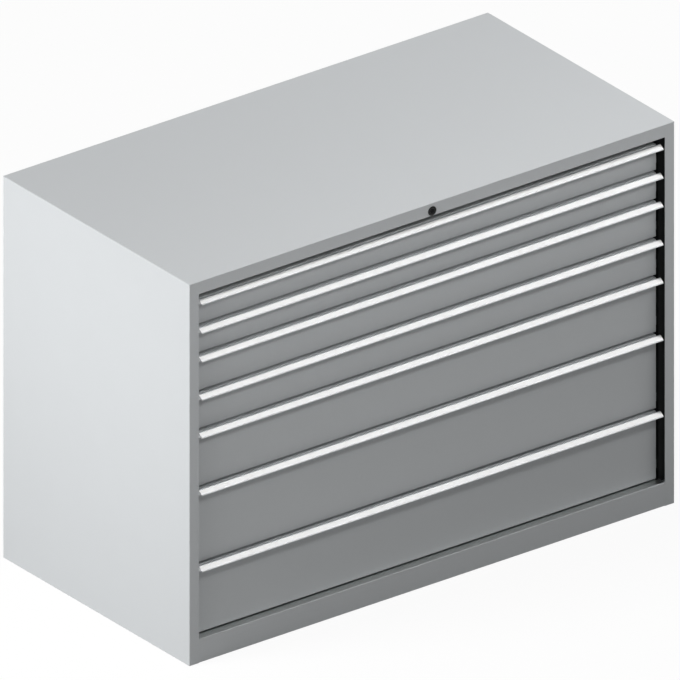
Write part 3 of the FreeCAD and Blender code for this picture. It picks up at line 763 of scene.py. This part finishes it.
class DressRunners(bpy.types.Operator):
    """Finish the runners and build the carriages with their rollers and riveted axles"""

    bl_idname = "cabinet.dress_runners"
    bl_label = "Runners and carriages"

    def execute(self, context):
        sizes = context.scene.cabinet_sizes
        for drawer in DRAWERS:
            folded_piece(f"drawer_{drawer}_runners", "zinc_plate", sizes.channel_fold)
            node = f"drawer_{drawer}_carriages"
            boxes = solid_parts(node)
            bars = [box for box in boxes if box[1].y - box[0].y > SHORTEST_BAR]
            rollers = [box for box in boxes if box[1].y - box[0].y < SHORTEST_BAR]
            self.bars(sizes, node, bars)
            self.rollers(sizes, node, bars, rollers)
        return {"FINISHED"}

    def bars(self, sizes, node, boxes):
        """The carriages' flat bars, with rounded ends."""
        work = bmesh.new()
        for low, high in boxes:
            bmesh.ops.create_cube(work, matrix=Matrix.Translation((low + high) / 2) @ Matrix.Diagonal(
                (*(high - low), 1)))
        weight = work.edges.layers.float.new("bevel_weight_edge")
        for edge in work.edges:
            # the corners of a bar's ends run across the cabinet, along X
            along = (edge.verts[0].co - edge.verts[1].co).normalized()
            edge[weight] = 1.0 if abs(along.x) > PARALLEL else sizes.cut / sizes.bar_end
        piece = keep(f"{node}_bars", to_mesh(work, node), body_of(node), "zinc_plate", [node])
        round_edges(piece, sizes.bar_end, 4)

    def rollers(self, sizes, node, bars, boxes):
        """The rollers in their places, and their axles' heads on the bars' inner faces."""
        low, high = boxes[0]
        places = [(a + b) / 2 for a, b in boxes]
        mesh = grown(tree_of(roller_tree), points_mesh("roller_places", places), {
            "Radius": (high.z - low.z) / 2, "Width": high.x - low.x, "Head": sizes.axle_radius,
            "Material": finish_of("zinc_plate")})
        mesh.shade_smooth()
        mesh.set_sharp_from_angle(angle=ROLLER_HARD)
        keep(f"{node}_rollers", mesh, body_of(node), "zinc_plate", [node])
        inner = {side: min((box for box in bars if (box[0].x > 0) == (side > 0)),
                           key=lambda box: abs(box[0].x)) for side in (-1, 1)}
        heads = []
        for place in places:
            side = 1 if place.x > 0 else -1
            low, high = inner[side]
            heads.append(Vector((low.x if side > 0 else high.x, place.y, place.z)))
        mesh = grown(tree_of(button_tree), points_mesh("axle_places", heads), {
            "Radius": sizes.axle_radius, "Height": sizes.axle_height, "Turn": (0, math.pi / 2, 0),
            "Material": finish_of("zinc_plate")})
        mesh.shade_smooth()
        keep(f"{node}_axles", mesh, body_of(node), "zinc_plate")


# each strength's lamp: its name, kind, place, aim and shape, in metres
LAMPS = {
    "key": ("key_left", "SUN", (-0.66, 0.22, 0.72), (0, 0, 0), {"angle": math.radians(20)}),
    "left": ("left_box", "AREA", (-2.3, 0.1, 1), (-0.7, 0.05, 0.95), {
        "shape": "RECTANGLE", "size": 2.4, "size_y": 0.4}),
    "front": ("front_box", "AREA", (0.25, -2, 2.3), (0.05, -0.36, 0.9), {
        "shape": "RECTANGLE", "size": 3.2, "size_y": 0.4, "spread": math.radians(69)}),
    "right": ("right_box", "AREA", (2.6, -1.8, 2.2), (0.2, 0, 0.6), {
        "shape": "RECTANGLE", "size": 1.6, "size_y": 0.8}),
    "overhead": ("overhead_box", "AREA", (2.71, -1.31, 4.71), (0, -0.36, 0.55), {
        "shape": "RECTANGLE", "size": 0.8, "size_y": 1.9}),
}
# the point of the housing's front plane that the photograph's middle falls on
VIEW_MIDDLE = Vector((-0.2715, -0.361, 0.7226))
CAMERA_DISTANCE = 6
# reach of the floor on each side, and the share of its light that it throws back on the cabinet
FLOOR_REACH = 14
FLOOR_BOUNCE = 0.33
# share of the floor's brightness that doesn't take the cabinet's shadow
FLOOR_GLOW = 0.93


class LightStage(bpy.types.Operator):
    """Set up the floor, the lights and the camera"""

    bl_idname = "cabinet.light_stage"
    bl_label = "Studio"

    def execute(self, context):
        stage = context.scene.cabinet_stage
        self.floor(context)
        self.sky(context, stage.sky)
        for strength, (name, kind, place, aim, settings) in LAMPS.items():
            self.lamp(name, kind, getattr(stage, strength), place, aim, settings)
        self.camera(context, stage)
        context.scene.view_settings.view_transform = "Standard"
        return {"FINISHED"}

    def seen(self, tree):
        """One for the rays that show the studio, to the camera or in a reflection, and zero for its light."""
        path = add(tree, "ShaderNodeLightPath").outputs
        mirrored = maths(tree, "MAXIMUM", path["Is Glossy Ray"], path["Is Transmission Ray"])
        return maths(tree, "MAXIMUM", path["Is Camera Ray"], mirrored)

    def floor(self, context):
        """Pale floor that shows nearly white, keeps the cabinet's shadow and throws little light back."""
        work = bmesh.new()
        bmesh.ops.create_grid(work, x_segments=8, y_segments=8, size=FLOOR_REACH)
        mesh = bpy.data.meshes.new("studio_floor")
        work.to_mesh(mesh)
        work.free()
        floor = bpy.data.objects.new("studio_floor", mesh)
        context.scene.collection.objects.link(floor)
        made = bpy.data.materials.new("pale_studio_floor")
        made.use_nodes = True
        tree = made.node_tree
        tree.nodes.clear()
        tone = context.scene.cabinet_finishes.floor
        lit = add(tree, "ShaderNodeBsdfDiffuse", {"Color": tinted(tone, 1.0)})
        glow = add(tree, "ShaderNodeEmission", {"Color": (1, 1, 1, 1), "Strength": 1.0})
        shown = add(tree, "ShaderNodeMixShader", {
            0: FLOOR_GLOW, 1: lit.outputs["BSDF"], 2: glow.outputs["Emission"]})
        dim = add(tree, "ShaderNodeBsdfDiffuse", {"Color": tinted(tone, FLOOR_BOUNCE)})
        either = add(tree, "ShaderNodeMixShader", {
            0: self.seen(tree), 1: dim.outputs["BSDF"], 2: shown.outputs["Shader"]})
        add(tree, "ShaderNodeOutputMaterial", {"Surface": either.outputs["Shader"]})
        mesh.materials.append(made)

    def sky(self, context, strength):
        """White surroundings to look at and to reflect, with a lower even light."""
        world = bpy.data.worlds.new("studio_sky")
        world.use_nodes = True
        tree = world.node_tree
        tree.nodes.clear()
        white = add(tree, "ShaderNodeBackground", {"Color": (1, 1, 1, 1), "Strength": 1.0})
        even = add(tree, "ShaderNodeBackground", {"Color": (1, 1, 1, 1), "Strength": strength})
        mixed = add(tree, "ShaderNodeMixShader", {
            0: self.seen(tree), 1: even.outputs["Background"], 2: white.outputs["Background"]})
        add(tree, "ShaderNodeOutputWorld", {"Surface": mixed.outputs["Shader"]})
        context.scene.world = world

    def lamp(self, name, kind, energy, place, aim, settings):
        """A lamp at a place, turned to its aim."""
        data = bpy.data.lights.new(name, kind)
        data.energy = energy
        for key, value in settings.items():
            setattr(data, key, value)
        lamp = bpy.data.objects.new(name, data)
        lamp.location = place
        lamp.rotation_euler = (Vector(aim) - Vector(place)).to_track_quat("-Z", "Y").to_euler()
        bpy.context.scene.collection.objects.link(lamp)

    def camera(self, context, stage):
        """Straight-lined camera at the photograph's angle."""
        data = bpy.data.cameras.new("camera")
        data.type = "ORTHO"
        data.ortho_scale = stage.width
        data.clip_end = 100
        camera = bpy.data.objects.new("camera", data)
        back = Vector((
            math.sin(stage.azimuth) * math.cos(stage.elevation),
            -math.cos(stage.azimuth) * math.cos(stage.elevation),
            math.sin(stage.elevation)))
        camera.location = VIEW_MIDDLE + back * CAMERA_DISTANCE
        camera.rotation_euler = (-back).to_track_quat("-Z", "Y").to_euler()
        context.scene.collection.objects.link(camera)
        context.scene.camera = camera


class CabinetPanel(bpy.types.Panel):
    """The cabinet's operators and settings"""

    bl_idname = "VIEW3D_PT_cabinet"
    bl_label = "Drawer cabinet"
    bl_space_type = "VIEW_3D"
    bl_region_type = "UI"
    bl_category = "Cabinet"

    def draw(self, context):
        for operator in OPERATORS:
            self.layout.operator(operator.bl_idname)
        for group in (context.scene.cabinet_finishes, context.scene.cabinet_sizes, context.scene.cabinet_stage):
            box = self.layout.box()
            for name in group.__annotations__:
                box.prop(group, name)


OPERATORS = (DressHousing, DressFrame, DressLock, DressDrawers, DressHandles, DressRunners, LightStage)
CLASSES = (CabinetFinishes, CabinetSizes, CabinetStage, *OPERATORS, CabinetPanel)


def register():
    for item in CLASSES:
        bpy.utils.register_class(item)
    bpy.types.Scene.cabinet_finishes = PointerProperty(type=CabinetFinishes)
    bpy.types.Scene.cabinet_sizes = PointerProperty(type=CabinetSizes)
    bpy.types.Scene.cabinet_stage = PointerProperty(type=CabinetStage)


def unregister():
    for name in ("cabinet_finishes", "cabinet_sizes", "cabinet_stage"):
        delattr(bpy.types.Scene, name)
    for item in reversed(CLASSES):
        bpy.utils.unregister_class(item)


def main():
    """Build everything in order."""
    register()
    bpy.ops.cabinet.dress_housing()
    bpy.ops.cabinet.dress_frame()
    bpy.ops.cabinet.dress_lock()
    bpy.ops.cabinet.dress_drawers()
    bpy.ops.cabinet.dress_handles()
    bpy.ops.cabinet.dress_runners()
    bpy.ops.cabinet.light_stage()


if __name__ == "__main__":
    main()
